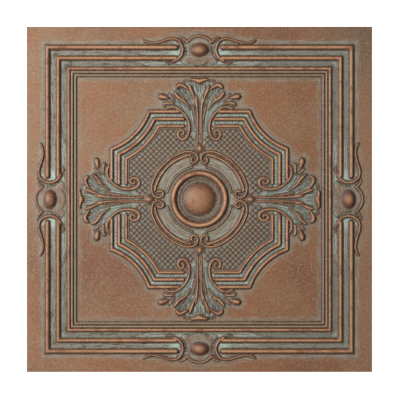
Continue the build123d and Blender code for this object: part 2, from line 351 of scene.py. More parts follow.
def pressed_forms(p, q, inset=0.0):
    """The beads, ridges, rings, dome and egg, which show on both sides of the sheet."""
    relief = Relief(p, q)
    r = np.hypot(p, q)
    for name, at, half_width, rise, start in frame_beads:
        along = np.maximum(start - p, 0) if start > 0 else 0.0
        relief.lay(name, np.hypot(q - at, along), half_width - inset, rise)
    for name, at, half_width, rise, start in plaque_ridges:
        if half_width > 1 or not inset:
            relief.lay(name, ridge_distance(p, q, at, start), half_width - inset, rise)
    for name, radius, half_width, rise in boss_rings:
        if half_width > 2 or not inset:
            relief.lay(name, np.abs(r - radius), half_width - inset, rise)
    curve = (dome_radius**2 + dome_rise**2) / (2 * dome_rise)
    dome = np.sqrt(np.maximum(curve**2 - r**2, 0)) - (curve - dome_rise)
    dome = np.where(r < dome_radius - inset, np.maximum(dome, 0), 0)
    relief.lift = np.where(dome > relief.height, dome_rub * (dome / dome_rise) ** dome_rub_fall, relief.lift)
    relief.height = np.maximum(relief.height, dome)
    relief.gap = np.minimum(relief.gap, r - dome_radius)
    reach_p, reach_q = egg_reach[0] - inset, egg_reach[1] - inset
    share = np.hypot((p - egg_middle[0]) / reach_p, (q - egg_middle[1]) / reach_q)
    egg = egg_rise * np.sqrt(np.maximum(1 - share**2, 0))
    relief.lift = np.where(egg > relief.height, egg_rub * (egg / egg_rise) ** egg_rub_fall, relief.lift)
    relief.height = np.maximum(relief.height, egg)
    relief.gap = np.minimum(relief.gap, (share - 1) * egg_reach[1])
    return relief


def face_forms(p, q):
    """All the forms of the face: the pressed ones, the drawn strokes, the pearls and the low grounds."""
    relief = pressed_forms(p, q)
    for name, line in lines.items():
        reach = line[:, 2].max() + widest_gap
        near = (p > line[:, 0].min() - reach) & (p < line[:, 0].max() + reach)
        near &= (q > line[:, 1].min() - reach) & (q < line[:, 1].max() + reach)
        if not near.any():
            continue
        share, width = stroke_distance(p[near], q[near], line)
        rise = strokes[name][0] * np.minimum(width / full_rise_half, 1)
        relief.lay(name, share * width, width, rise, near)
    corners = np.cos(4 * np.arctan2(q - pearl_at, p) + math.pi)
    relief.lay("pearl", np.hypot(p, q - pearl_at) * (1 + pearl_squareness * corners), pearl_half, pearl_rise)
    relief.palmette = np.maximum(depth_inside(p, q, palmette_outline), 0)
    plate = depth_inside(p, q, plate_outline)
    relief.plate = ease(plate, -0.3, 0.6)
    relief.gap = np.minimum(relief.gap, np.where(plate < 0, np.maximum(-plate, 0.2), widest_gap))
    ground = ground_rise * np.maximum(ease(relief.palmette, 0, 3.0), relief.plate)
    on_ground = relief.height * 0.9 + ground * 0.3
    relief.height = np.maximum(relief.height, np.where(relief.gap > 0, ground, on_ground))
    return relief


# %% [markdown]
# ## The diaper ground
#
# Inside the plaque, the flat ground carries a net of fine grooves on both diagonals, which leaves small raised
# diamonds. Along the tile's sides the pattern repeats every 9.86 mm, with a diamond on the tile's centre if it went
# on that far. It stops short of the scrolls and fades at the palmette's foot, where the mould was too crowded.

# %% Diaper pattern
diaper_step = 9.86
groove_half = 1.05
diamond_rise = 0.95


def diaper(p, q, relief):
    """Height of the diamonds, their evenness from groove to middle, and where the diaper is laid."""
    r = np.hypot(p, q)
    in_plaque = ease(plaque_fillet_at - plaque_level(p, q), 1.0, 3.0)
    clear_of_forms = ease(r, 89.5, 92.5) * ease(relief.gap, 0.6, 2.2)
    where = in_plaque * clear_of_forms * ease(p, 4, 12) * (relief.palmette <= 0)
    sides = []
    for across in (p + q, p - q):
        beside = np.abs((across / diaper_step) % 1 - 0.5) * diaper_step / math.sqrt(2)
        sides.append(ease(beside, 0.2, groove_half))
    diamond = sides[0] * sides[1]
    return diamond_rise * diamond * where, diamond, where


def plaque_level(p, q):
    """Which plaque line a point lies on: the line's distance from the tile's centre on its straight part."""
    scoop = plaque_corner_radius - np.hypot(plaque_corner - p, plaque_corner - q)
    return np.maximum(q, np.where(q < plaque_corner, scoop, 0))


# %% [markdown]
# ## Veins between the lobes
#
# The flesh of the leaf between the bright lobes has fine veins. They are shallow grooves that fan up from the foot
# of the palmette. Like the diaper, they only press into the face.

# %% Veins
vein_depth = 0.55
veins = [smooth_line(knots, 2.0) for knots in (
    [(9.0, 118.0, 0.5), (10.2, 140.0, 0.6), (13.2, 160.0, 0.7), (20.0, 178.0, 0.8), (29.0, 189.5, 0.6)],
    [(13.4, 120.0, 0.5), (13.8, 140.0, 0.7), (17.0, 154.0, 0.7)],
    [(14.2, 170.0, 0.5), (18.5, 181.0, 0.8), (25.0, 189.0, 0.8), (33.0, 194.5, 0.6)],
    [(21.0, 172.0, 0.5), (26.5, 181.5, 0.7), (33.5, 188.0, 0.7)],
    [(20.0, 156.0, 0.5), (29.0, 164.5, 0.8), (38.0, 169.0, 0.8), (48.0, 173.0, 0.5)],
    [(28.0, 158.5, 0.5), (36.0, 164.0, 0.7), (44.0, 165.0, 0.5)],
    [(40.5, 175.0, 0.4), (44.5, 181.0, 0.7), (47.0, 185.0, 0.5)],
    [(7.4, 140.0, 0.4), (9.0, 156.0, 0.7), (13.6, 170.0, 0.7), (18.0, 177.0, 0.5)],
    [(2.6, 187.0, 0.4), (3.4, 194.0, 0.7), (5.0, 200.0, 0.5)],
    [(8.4, 184.0, 0.4), (10.0, 193.0, 0.7), (12.6, 202.0, 0.5)],
    [(23.0, 184.0, 0.4), (29.0, 189.8, 0.7), (35.6, 192.0, 0.5)],
    [(29.6, 179.0, 0.4), (34.6, 185.6, 0.7), (38.0, 189.6, 0.5)],
    [(26.0, 162.6, 0.4), (33.0, 168.4, 0.7), (42.0, 172.8, 0.5)],
    [(15.2, 118.0, 0.5), (15.4, 136.0, 0.6), (19.0, 149.0, 0.6), (27.0, 156.0, 0.4)],
    [(0.0, 142.0, 0.7), (0.0, 165.0, 1.0), (0.0, 184.0, 0.8)])]


def vein_cut(p, q, relief):
    """Depth of the veins, only in the flesh between the strokes."""
    depth = np.zeros_like(p)
    flesh = relief.palmette > 0
    if flesh.any():
        cut = np.zeros(flesh.sum())
        for line in veins:
            share, width = stroke_distance(p[flesh], q[flesh], line)
            cut = np.maximum(cut, hump(np.minimum(share * width / (width + 0.5), 1)))
        depth[flesh] = cut * ease(relief.gap[flesh], 0.0, 1.0)
    return depth


# %% [markdown]
# ## Where the mesh needs points
#
# A plain grid fine enough for the scrolls would need millions of faces on the flat parts too. So points are laid
# where the form turns: rows along the foot, sides and crest of each ridge, a net that fits the diaper, and a wide
# grid on the flat fields. Blender's own Delaunay function joins them into triangles, and the rows are given to it
# as edges to keep, so that no triangle cuts across a ridge.

# %% Points for one eighth of the tile
face_shares = (-1.5, -1.12, -0.93, -0.62, -0.22, 0.22, 0.62, 0.93, 1.12, 1.5)
back_shares = (-1.3, -1.0, -0.55, 0.0, 0.55, 1.0, 1.3)


def beside_line(line, shares, step):
    """Points at several shares of the half width on both sides of a stroke."""
    lengths = np.concatenate([[0], np.cumsum(np.hypot(*np.diff(line[:, :2], axis=0).T))])
    count = max(3, int(lengths[-1] / step))
    at = np.linspace(0, lengths[-1], count)
    p, q, half = (np.interp(at, lengths, line[:, k]) for k in range(3))
    along = np.stack([np.gradient(p), np.gradient(q)], 1)
    along /= np.hypot(*along.T)[:, None] + 1e-9
    return np.vstack([np.stack([p - along[:, 1] * half * s, q + along[:, 0] * half * s], 1) for s in shares])


def cap_points(line, shares, count):
    """Points round both free ends of a stroke, at several shares of the half width there."""
    caps = []
    for end, before in ((line[0], line[1]), (line[-1], line[-2])):
        way = math.atan2(end[1] - before[1], end[0] - before[0])
        turn = way + np.linspace(-math.pi / 2, math.pi / 2, count)
        caps += [end[:2] + end[2] * s * np.stack([np.cos(turn), np.sin(turn)], 1) for s in shares]
    return np.vstack(caps)


def straight_rows(shares, step, widen):
    """Rows along the beads, as one array of points for each row, all ending on the mitre."""
    rows = []
    for name, at, half_width, rise, start in frame_beads:
        for share in shares:
            q = at + share * (half_width - widen)
            first = max(start, 0.0)
            p = np.arange(math.ceil(first / step) * step, q - step * 0.4, step)
            rows.append(np.stack([np.append(p, q), np.full(len(p) + 1, q)], 1))
    return rows


def plaque_rows(shares, step, widen):
    """Rows along the plaque's ridges, straight part and half of the scooped corner."""
    rows = []
    for name, at, half_width, rise, start in plaque_ridges:
        for share in shares if half_width > 1 else (-1.0, 0.0, 1.0):
            q = at + share * (half_width - widen)
            radius = plaque_corner_radius - q
            bend = plaque_corner - math.sqrt(radius**2 - (plaque_corner - q) ** 2)
            straight = np.linspace(start, bend, max(3, int((bend - start) / step)))
            first = math.atan2(plaque_corner - q, plaque_corner - bend)
            turn = np.linspace(first, math.pi / 4, max(3, int(radius * abs(math.pi / 4 - first) / step * 2)))
            round_part = np.stack([plaque_corner - radius * np.cos(turn), plaque_corner - radius * np.sin(turn)], 1)
            rows.append(np.vstack([np.stack([straight, np.full(len(straight), q)], 1), round_part[1:]]))
    return rows


def end_points(shares, widen, count):
    """Points round the free ends of the beads and the plaque's ridges, at several shares of the half width."""
    turn = np.linspace(-math.pi / 2, math.pi / 2, count)
    ends = []
    for name, at, half_width, rise, start in frame_beads + plaque_ridges:
        for share in shares if start > 0 and half_width > 1 else ():
            radius = share * (half_width - widen)
            ends.append(np.stack([start - radius * np.cos(turn), at + radius * np.sin(turn)], 1))
    return np.vstack(ends)


def ring_points(radii, step):
    """Points on rings about the boss, within one eighth of a turn."""
    rings = []
    for radius in radii:
        turn = np.linspace(0, math.pi / 4, max(2, round(radius * math.pi / 4 / step)) + 1)
        rings.append(np.stack([radius * np.sin(turn), radius * np.cos(turn)], 1))
    return np.vstack(rings)


def egg_points(reach, shares, count):
    """Rings round the egg, at several shares of its reach."""
    turn = np.linspace(-math.pi / 2, math.pi / 2, count)
    return np.vstack([
        np.stack([reach[0] * share * np.cos(turn), egg_middle[1] + reach[1] * share * np.sin(turn)], 1)
        for share in shares])


def grid_points(spacing, low_p, high_p, low_q, high_q):
    """A staggered grid over a box of the folded tile."""
    rows = []
    for k, q in enumerate(np.arange(low_q, high_q, spacing * 0.87)):
        p = np.arange(low_p + (spacing / 2 if k % 2 else 0), high_p, spacing)
        rows.append(np.stack([p, np.full(len(p), q)], 1))
    return np.vstack(rows)


class PointBoard:
    """Takes points in order of their worth and leaves out later ones that come too near."""

    cell = 0.4
    border = 20  # spare cells round the board
    margin = 0.45  # points keep this far off the mirror lines, or lie on them

    def __init__(self):
        size = int(half_side / self.cell) + 3 * self.border
        self.taken = np.zeros((size, size), bool)
        self.points = []

    def reserve(self, rows):
        """Keeps later points off the rows that are joined as kept edges."""
        for row in rows:
            i, j = (row / self.cell).astype(int).T + self.border
            self.taken[i, j] = True

    def add(self, points, room):
        """Adds the points that have this much room round them."""
        from_middle, from_mitre = points[:, 0], points[:, 1] - points[:, 0]
        on_lines = (np.abs(from_middle) < 1e-6) | (np.abs(from_mitre) < 1e-6)
        well_inside = (from_middle > self.margin) & (from_mitre > self.margin)
        points = points[(on_lines | well_inside) & (from_middle > -1e-6) & (points[:, 1] <= half_side + 1e-9)]
        reach = int(round(room / self.cell))
        for p, q in points:
            i, j = int(p / self.cell) + self.border, int(q / self.cell) + self.border
            if not self.taken[max(i - reach, 0):i + reach + 1, max(j - reach, 0):j + reach + 1].any():
                self.taken[i, j] = True
                self.points.append((p, q))


weld = 0.01  # points closer than this to a mirror line or the tile's edge lie on it


def triangulate(board, kept_rows):
    """Joins the board's points and the kept rows into triangles over one eighth of the tile."""
    points = [Vector((p, q)) for p, q in board.points]
    edges = []
    for row in kept_rows:
        first = len(points)
        points += [Vector((p, q)) for p, q in row]
        edges += [(k, k + 1) for k in range(first, first + len(row) - 1)]
    made = delaunay_2d_cdt(points, edges, [], 0, 1e-4, False)
    places = np.array([tuple(v) for v in made[0]])
    places[places[:, 0] < weld, 0] = 0.0
    on_mitre = places[:, 1] - places[:, 0] < weld
    places[on_mitre, 0] = places[on_mitre, 1]
    triangles = np.array([f for f in made[2] if len(f) == 3])
    a, b, c = (places[triangles[:, k]] for k in range(3))
    area = (b[:, 0] - a[:, 0]) * (c[:, 1] - a[:, 1]) - (b[:, 1] - a[:, 1]) * (c[:, 0] - a[:, 0])
    return places, triangles[np.abs(area) > 1e-4]


def border_points(board, steps):
    """Points along the two mirror lines and the outer edge, shared by the neighbouring eighths."""
    for step, start, end in steps:
        run = np.arange(start, end, step)
        board.add(np.stack([np.zeros(len(run)), run], 1), 0.5 * step)
        board.add(np.stack([run, run], 1), 0.5 * step)
    board.add(np.array([(0.0, 0.0), (0.0, half_side), (half_side, half_side)]), 0.1)


edge_count = 31
edge_row = np.stack([np.linspace(0, half_side, edge_count), np.full(edge_count, half_side)], 1)


def diaper_net():
    """Points that fit the diaper: a fine net with its lines along both diagonals, where the diaper is laid."""
    m, n = (part.ravel() for part in np.meshgrid(np.arange(0, 160), np.arange(50, 110)))
    half_step = diaper_step / 2
    net = np.stack([m, n], 1)[(m + n) % 2 == 0] * half_step / 4
    return net[diaper(net[:, 0], net[:, 1], face_forms(net[:, 0], net[:, 1]))[2] > 0.3]


def face_points():
    """The face's points, the finest forms first, joined into triangles."""
    board = PointBoard()
    board.add(edge_row, 0.1)
    rows = straight_rows(face_shares, 7.0, 0.0) + plaque_rows(face_shares, 5.0, 0.0)
    board.reserve(rows)
    rings = list(np.linspace(3, dome_radius, 12)) + [29.5, 33.0]
    rings += [fine_ring_radius + off for off in (-1.3, -0.7, 0.0, 0.7, 1.3)]
    rings += [boss_ring_radius + boss_ring_half * share for share in face_shares]
    board.add(ring_points(rings, 2.2), 0.3)
    board.add(end_points((0.3, 0.62, 0.93, 1.12, 1.5), 0.0, 7), 0.6)
    for line in lines.values():
        board.add(beside_line(line, face_shares, 1.25), 0.55)
        board.add(cap_points(line, (0.62, 0.93, 1.12, 1.5), 7), 0.4)
    board.add(egg_points(egg_reach, (0.1, 0.3, 0.5, 0.68, 0.82, 0.92, 0.98, 1.03, 1.2), 17), 0.7)
    for line in veins:
        board.add(beside_line(line, (-1.6, -0.6, 0.6, 1.6), 2.2), 0.6)
    board.add(diaper_net(), 0.3)
    board.add(grid_points(2.6, 0, 78, 96, 212), 1.3)  # the palmette
    board.add(grid_points(3.2, 0, 104, 232, 290), 1.6)  # the cartouche
    board.add(beside_line(plate_outline, (-1.0, 1.0), 1.6), 0.5)
    arcs = ((scroll_radius, 1.9), (scroll_band_radius, 2.3), (edge_ring_radius, 1.3))
    crossings = np.array([radius + half * share for radius, half in arcs for share in face_shares]) / math.sqrt(2)
    board.add(np.stack([crossings, crossings], 1), 0.1)  # where the arcs cross the diagonal
    border_points(board, [(0.8, 96, 214), (0.8, 232, 288), (0.8, 38, 96), (2.5, 2, 300)])
    board.add(grid_points(4.0, 0, 100, 0, 125), 2.4)  # the plaque
    board.add(grid_points(8.0, 0, 300, 0, 300), 4.8)  # the flat fields
    return triangulate(board, rows)


folded_points, folded_triangles = face_points()
print("one eighth of the face:", len(folded_points), "points,", len(folded_triangles), "triangles")

# %% [markdown]
# ## The back of the sheet
#
# A sheet drawn over a mould shows its large forms on the back as grooves, a little narrower and softer than the
# ridges. The thin strokes, the diaper and the veins only press into the face, so the back needs far fewer points.
# It shares the face's points along the tile's outer edge, so that the narrow side of the sheet can be closed
# between them.

# %% Points for one eighth of the back
back_inset = 0.45
back_ring_half = 4.6
back_egg_reach = (15.1, 10.3)


def back_points():
    """The back's points, joined into triangles."""
    board = PointBoard()
    board.add(edge_row, 0.1)
    rows = straight_rows(back_shares, 14.0, back_inset) + plaque_rows(back_shares, 10.0, back_inset)
    board.reserve(rows)
    rings = list(np.linspace(5, dome_radius - back_inset, 6))
    rings += [boss_ring_radius + back_ring_half * share for share in back_shares] + [32.0]
    board.add(ring_points(rings, 4.5), 0.5)
    board.add(end_points((0.55, 1.0, 1.4), back_inset, 5), 0.6)
    board.add(egg_points(back_egg_reach, (0.3, 0.6, 0.85, 1.0, 1.1), 9), 0.9)
    border_points(board, [(6.0, 3, 298)])
    board.add(grid_points(14.0, 0, 300, 0, 300), 7.0)
    return triangulate(board, rows)


back_folded_points, back_folded_triangles = back_points()
print("one eighth of the back:", len(back_folded_points), "points,", len(back_folded_triangles), "triangles")


# %% [markdown]
# ## One closed sheet
#
# The eighth is turned and mirrored into place eight times. Points that meet on the mirror lines become one, the
# narrow outer side joins face and back, and the whole tile is a single closed skin, as the real sheet is. The
# lift, gap, diaper and other values of each point go along as attributes for the finish.

# %% Sheltered ground
def shelter(p, q, relief):
    """1 where a point lies between close forms, less beside the outer bead, 0 in the open field."""
    level = plaque_level(p, q)
    in_frame = ease(q, 213, 216) * (ease(q, 270, 267) * 0.6 + ease(q, 282, 268) * 0.4)
    in_channels = ease(level, 126, 128) * ease(level, 154, 152)
    by_the_boss = 0.5 * ease(np.hypot(p, q), 90, 87)
    by_the_egg = ease(np.hypot(p / 40, (q - 260) / 25), 1.0, 0.8)
    sheltered = np.max([in_frame, in_channels, by_the_boss, by_the_egg, ease(relief.palmette, 0, 2)], axis=0)
    return sheltered * (1 - 0.7 * relief.plate)


def verdigris_pools(p, q, relief):
    """1 in the plaque's channels and inside the claws, where the verdigris lies thickest."""
    level = plaque_level(p, q)
    in_channels = ease(level, 127, 129) * ease(level, 152, 150) * (relief.palmette <= 0)
    in_claws = ease(np.hypot((p - 40) / 11, (q - 261) / 17), 1.0, 0.7)
    by_the_stem = 0.6 * ease(relief.palmette, 0.5, 3) * ease(q, 172, 150) * ease(q, 112, 140)
    return np.max([in_channels, in_claws, by_the_stem], axis=0)


# %% [markdown]
# The verdigris was wiped along the beads and up the leaves, so it lies in streaks. Each point gets a place on a
# second map for that: squeezed along the wiping, and in true millimetres across it. Streaks follow the frame and the
# plaque, turn with the rings of the boss, and fan out in the palmettes.

# %% Ways of the wiping
squeeze = 0.12
boss_reach = 90
mean_ring_radius = 60
fan_foot = 70
fan_spread = 140


def wiping_map(p, q, relief):
    """Places on the streak map: along the wiping, squeezed, and across it, both in metres."""
    r = np.hypot(p, q)
    in_boss, in_palmette = r < boss_reach, relief.palmette > 0
    fan = fan_spread * p / np.maximum(q - fan_foot, 10)
    along = np.where(in_boss, np.arctan2(p, q) * mean_ring_radius * squeeze, p * squeeze)
    across = np.where(in_boss, r, plaque_level(p, q))
    along, across = np.where(in_palmette, q * squeeze, along), np.where(in_palmette, fan, across)
    return np.stack([along, across, np.zeros_like(p)], 1) * MM


# %% Unfold and weld
def unfold(points, triangles):
    """All eight copies of the folded points, and their triangles, with mirrored ones turned to face the same way."""
    p, q = points.T
    a, b, c = (points[triangles[:, k]] for k in range(3))
    turned = (b[:, 0] - a[:, 0]) * (c[:, 1] - a[:, 1]) - (b[:, 1] - a[:, 1]) * (c[:, 0] - a[:, 0]) < 0
    upright = np.where(turned[:, None], triangles[:, ::-1], triangles)
    copies = [(p, q, 1), (-p, q, -1), (q, p, -1), (q, -p, 1), (p, -q, -1), (-p, -q, 1), (-q, p, 1), (-q, -p, -1)]
    places = np.vstack([np.stack([x, y], 1) for x, y, way in copies])
    faces = [(upright if way > 0 else upright[:, ::-1]) + k * len(points) for k, (x, y, way) in enumerate(copies)]
    source = np.tile(np.arange(len(points)), 8)
    keys = np.round(places * 200).astype(np.int64)
    kept, first, names = np.unique(keys, axis=0, return_index=True, return_inverse=True)
    faces = names.ravel()[np.vstack(faces)]
    whole = (faces[:, 0] != faces[:, 1]) & (faces[:, 1] != faces[:, 2]) & (faces[:, 0] != faces[:, 2])
    return places[first], faces[whole], source[first]


face_p, face_q = folded_points.T
face_relief = face_forms(face_p, face_q)
diamonds, evenness, laid = diaper(face_p, face_q, face_relief)
cuts = vein_cut(face_p, face_q, face_relief)
face_height = sheet + face_relief.height + diamonds - cuts * vein_depth
back_height = pressed_forms(*back_folded_points.T, back_inset).height
tops, top_faces, top_source = unfold(folded_points, folded_triangles)
unders, under_faces, under_source = unfold(back_folded_points, back_folded_triangles)


def outer_loop(places):
    """Indices of the points on the tile's outer edge, in order round it."""
    on_edge = np.flatnonzero(np.abs(places).max(axis=1) > half_side - weld)
    return on_edge[np.argsort(np.arctan2(places[on_edge, 1], places[on_edge, 0]))]


top_loop = outer_loop(tops)
under_loop = outer_loop(unders) + len(tops)
side_faces = []
for k in range(len(top_loop)):
    n = (k + 1) % len(top_loop)
    side_faces += [(under_loop[k], under_loop[n], top_loop[n]), (under_loop[k], top_loop[n], top_loop[k])]
vertices = np.vstack([
    np.column_stack([tops, face_height[top_source]]),
    np.column_stack([unders, back_height[under_source]])]) * MM
faces = np.vstack([top_faces, under_faces[:, ::-1] + len(tops), side_faces])
print("triangles in all:", len(faces), "of which back:", len(under_faces))

# %% Make the tile
tile_mesh = bpy.data.meshes.new("pressed_tile")
tile_mesh.from_pydata(vertices.tolist(), [], faces.tolist())
kept_values = {
    "lift": face_relief.lift, "gap": face_relief.gap, "net": laid * (1 - evenness), "diaper": laid,
    "sheltered": shelter(face_p, face_q, face_relief), "vein": cuts,
    "pool": verdigris_pools(face_p, face_q, face_relief), "dull": face_relief.dull, "plate": face_relief.plate}
back_gap = 20.0
for name, values in kept_values.items():
    layer = tile_mesh.attributes.new(name, "FLOAT", "POINT")
    on_back = np.full(len(unders), back_gap if name == "gap" else 0.0)
    layer.data.foreach_set("value", np.concatenate([values[top_source], on_back]))
streak_layer = tile_mesh.attributes.new("wiping", "FLOAT_VECTOR", "POINT")
wiping = wiping_map(face_p, face_q, face_relief)[top_source]
streak_layer.data.foreach_set("vector", np.vstack([wiping, np.zeros((len(unders), 3))]).ravel())
tile_mesh.shade_smooth()

# The rim is a cut edge, so its corners are sharp.
edge_ends = np.empty(2 * len(tile_mesh.edges), np.int32)
tile_mesh.edges.foreach_get("vertices", edge_ends)
on_rim = np.abs(vertices[:, :2]).max(axis=1) > (half_side - weld) * MM
tile_mesh.edges.foreach_set("use_edge_sharp", on_rim[edge_ends.reshape(-1, 2)].all(axis=1))
tile_mesh.update()
tile = bpy.data.objects.new("pressed_tile", tile_mesh)
bpy.context.collection.objects.link(tile)
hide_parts("ceiling_tile")
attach(tile, "root")
sides = np.sort(np.vstack([faces[:, [0, 1]], faces[:, [1, 2]], faces[:, [2, 0]]]), axis=1)
uses = np.unique(sides, axis=0, return_counts=True)[1]
print("edges not shared by exactly two triangles:", int((uses != 2).sum()))


# %% [markdown]
# ## The finish
#
# The real coat is a copper-coloured paint on the pressed sheet, not bare metal. So it has a satin sheen and soft
# highlights, and nothing mirrors in it. Two washes go on top. A thin dark brown one runs into the corners beside
# every ridge and is wiped off the crests; at the foot of each form its dark line is drawn wider, as painted shade in
# the crease. A thick grey-green one, the verdigris, is dabbed into the low ground. Wiping is never even, so noise
# breaks all the edges.
#
# One small function adds any node with its settings, and each input gets a value or a link.

# %% Node helper
def linear(hex_colour):
    """An sRGB hex colour as linear red, green, blue and full alpha."""
    parts = [int(hex_colour[k:k + 2], 16) / 255 for k in (1, 3, 5)]
    return [c / 12.92 if c <= 0.04045 else ((c + 0.055) / 1.055) ** 2.4 for c in parts] + [1.0]


def add_node(tree, kind, inputs=None, **settings):
    """Adds a node, sets its properties, and gives each named or numbered input its value or its link."""
    node = tree.nodes.new(kind)
    for name, value in settings.items():
        setattr(node, name, value)
    for name, value in (inputs or {}).items():
        if isinstance(value, bpy.types.NodeSocket):
            tree.links.new(value, node.inputs[name])
        else:
            node.inputs[name].default_value = value
    return node


# %% Colours
colours = {
    # the copper paint, from its plain colour to its warm, grey, pale, dark, dusky and shaded parts; its red is
    # painted shade, and its pale also paints light on the right side
    "copper": "#987354", "copper_warm": "#9C6641", "copper_grey": "#88735C", "copper_pale": "#A98C6E",
    "copper_dark": "#72533B", "copper_dusk": "#764730", "shaded_copper_red": "#8E5534", "copper_shade": "#5C5046",
    # crests that the cloth rubbed, well or badly, and the red brown on the sides, where it hardly reached
    "crest": "#C6946B", "crest_worn": "#9C6C4E", "dull_crest": "#88836F", "red_brown": "#6E4430",
    # the brown wash, which also paints shade at the foot of each form, and the verdigris from its thin haze to
    # where it lies thick
    "wash_and_painted_shade": "#2E241C", "net_wash": "#3C2B22", "haze": "#7F7C6E", "verdigris": "#8C897B",
    "verdigris_dark": "#54412F", "verdigris_pale": "#B0C2B6", "verdigris_thick": "#AEC0B4"}
paints = {name: linear(code) for name, code in colours.items()}
print("colours:", {name: [round(part, 3) for part in paint[:3]] for name, paint in paints.items()})

# %% [markdown]
# ### What the coat follows
#
# Each layer of the coat lies where some signal says so. Some signals are the values kept on the mesh. Others are
# noise patterns, with their size in real millimetres: large clouds where the roller laid the paint unevenly, patches
# where the cloth pressed more or less, and grain, specks and flecks of the paint itself. Streaks lie along the
# wiping. Three more grow across the tile, in metres from its centre. They paint light and shade across it: a paler
# right side is painted light, a redder and darker lower right is painted shade, and on the left the crests are duller
# as painted shade and the verdigris is darker, partly painted shade and partly uneven verdigris. The upper right
# corner is also darker.

# %% Signals
copper_finish = bpy.data.materials.new("antique_copper_paint_with_verdigris")
copper_finish.use_nodes = True
coat = copper_finish.node_tree
place = add_node(coat, "ShaderNodeTexCoord").outputs["Object"]
signals = {}
for name in kept_values:
    signals[name] = add_node(coat, "ShaderNodeAttribute", attribute_name=name).outputs["Fac"]

# A pattern is its size in millimetres, its detail, its roughness, and a turn that gives another draw of the noise.
patterns = {
    "cloud": (70, 3, 0.55, 0.0), "patch": (17, 3, 0.55, 0.0), "grain": (5.0, 4, 0.65, 0.0),
    "speck": (2.2, 3, 0.6, 0.0), "fleck": (2.4, 2, 0.5, 0.0), "dusk": (220, 4, 0.6, 1.5)}
for name, (size_mm, detail, roughness, turn) in patterns.items():
    inputs = {"Vector": place, "W": turn, "Scale": 1000 / size_mm, "Detail": detail, "Roughness": roughness}
    signals[name] = add_node(coat, "ShaderNodeTexNoise", inputs, noise_dimensions="4D").outputs["Fac"]

streak_mm = 2.6
streak_share = 0.7
wiping_place = add_node(coat, "ShaderNodeAttribute", attribute_name="wiping").outputs["Vector"]
streak = add_node(coat, "ShaderNodeTexNoise", {"Vector": wiping_place, "Scale": 1000 / streak_mm, "Detail": 2.0})
lined = add_node(coat, "ShaderNodeMix", {0: streak_share, 2: signals["speck"], 3: streak.outputs["Fac"]})
signals["lined"] = lined.outputs[0]

ways = {"lower_right": (0.7, -0.7, 0.0), "upper_right": (0.7, 0.7, 0.0), "rightwards": (1.0, 0.0, 0.0)}
for name, way in ways.items():
    along_way = add_node(coat, "ShaderNodeVectorMath", {0: place, 1: way}, operation="DOT_PRODUCT")
    signals[name] = along_way.outputs["Value"]
print("signals:", ", ".join(signals))

# %% [markdown]
# ### Shares
#
# A share turns a signal into an amount. It is the signal's name, the two values between which it turns, and the
# amounts at those two, which are 0 and 1 where none are given. The gap is in millimetres.

# %% Shares
shares = {
    # unevenness of the paint; painted shade makes the lower right redder and darker, painted light makes the right
    # side paler, and the upper right corner is darker
    "warm_clouds": ("cloud", 0.36, 0.64), "painted_shade_lower_right": ("lower_right", -0.25, 0.30, 0.0, 0.5),
    "dusky_clouds": ("dusk", 0.46, 0.64, 0.0, 0.65), "painted_light_right_side": ("rightwards", 0.22, 0.30, 0.0, 0.3),
    "shaded_corner": ("upper_right", 0.30, 0.42, 0.0, 0.6), "greyed_grain": ("grain", 0.42, 0.72, 0.0, 0.7),
    "pale_flecks": ("fleck", 0.52, 0.70, 0.0, 0.65), "dark_flecks": ("fleck", 0.48, 0.31, 0.0, 0.65),
    # haze round the forms, and verdigris in the sheltered ground
    "near_forms": ("gap", 10.5, 1.5, 0.0, 0.6), "haze_patches": ("patch", 0.32, 0.62, 0.25, 1.0),
    "settled_grain": ("grain", 0.30, 0.52, 0.62, 0.98), "off_the_foot": ("gap", 0.2, 1.6),
    # pale and dark streaks in it; towards the left the verdigris is less pale and darker, partly uneven verdigris and
    # partly painted shade on the frame nearest the lamp
    "out_of_corners": ("gap", 1.4, 4.0), "pale_streaks": ("lined", 0.44, 0.60),
    "thinner_and_shaded_at_left": ("rightwards", -0.27, 0.05, 0.5, 1.0), "with_shelter": ("sheltered", 0.0, 1.0, 0.25, 0.70),
    "within_reach": ("gap", 12.0, 7.0), "murky_patches": ("patch", 0.60, 0.40, 0.25, 0.9),
    "murky_streaks": ("lined", 0.52, 0.43), "murkier_and_shaded_at_left": ("rightwards", -0.05, 0.25, 1.0, 0.35),
    # the egg's plate, and the thick pools
    "bare_patches": ("patch", 0.40, 0.60, 0.35, 0.0), "pool_edge": ("gap", 0.9, 2.6),
    "pool_streaks": ("lined", 0.38, 0.52, 0.4, 1.0),
    # the diaper, and the dark line at the foot of each form: the brown wash, widened with painted shade in the crease
    "diaper_grain": ("grain", 0.35, 0.65, 0.35, 0.85), "grooves": ("net", 0.2, 0.9),
    "groove_specks": ("speck", 0.30, 0.62, 1.0, 0.85), "wash_and_shade_at_foot": ("gap", 2.5, 0.6),
    "foot_specks": ("speck", 0.38, 0.60, 1.0, 0.35),
    # sides and rubbed crests of the forms; on the left the crests are duller, as painted shade nearest the lamp
    "form_sides": ("lift", 0.22, 0.55), "less_if_dull": ("dull", 0.0, 1.0, 1.0, 0.55),
    "crest_line": ("lift", 0.68, 0.97), "crest_specks": ("speck", 0.26, 0.48, 0.7, 1.0),
    "crests_shaded_at_left": ("rightwards", -0.26, -0.12, 0.6, 1.0), "well_rubbed": ("patch", 0.34, 0.52),
    "dull_line": ("lift", 0.60, 0.92), "dull_specks": ("speck", 0.32, 0.56, 0.35, 0.85),
    "raised": ("lift", 0.4, 0.8, 0.0, 0.45), "bright_flecks": ("fleck", 0.54, 0.70),
    "brown_flecks": ("fleck", 0.48, 0.32),
    # sheen and fine roughness of the surface
    "satin": ("grain", 0.3, 0.7, 0.46, 0.64), "tooth": ("gap", 0.0, 1.0, 0.4, 0.6)}
for name, (signal, *values) in shares.items():
    inputs = dict(enumerate([signals[signal], *values]))
    signals[name] = add_node(coat, "ShaderNodeMapRange", inputs, interpolation_type="SMOOTHSTEP").outputs["Result"]
print("shares:", len(shares))
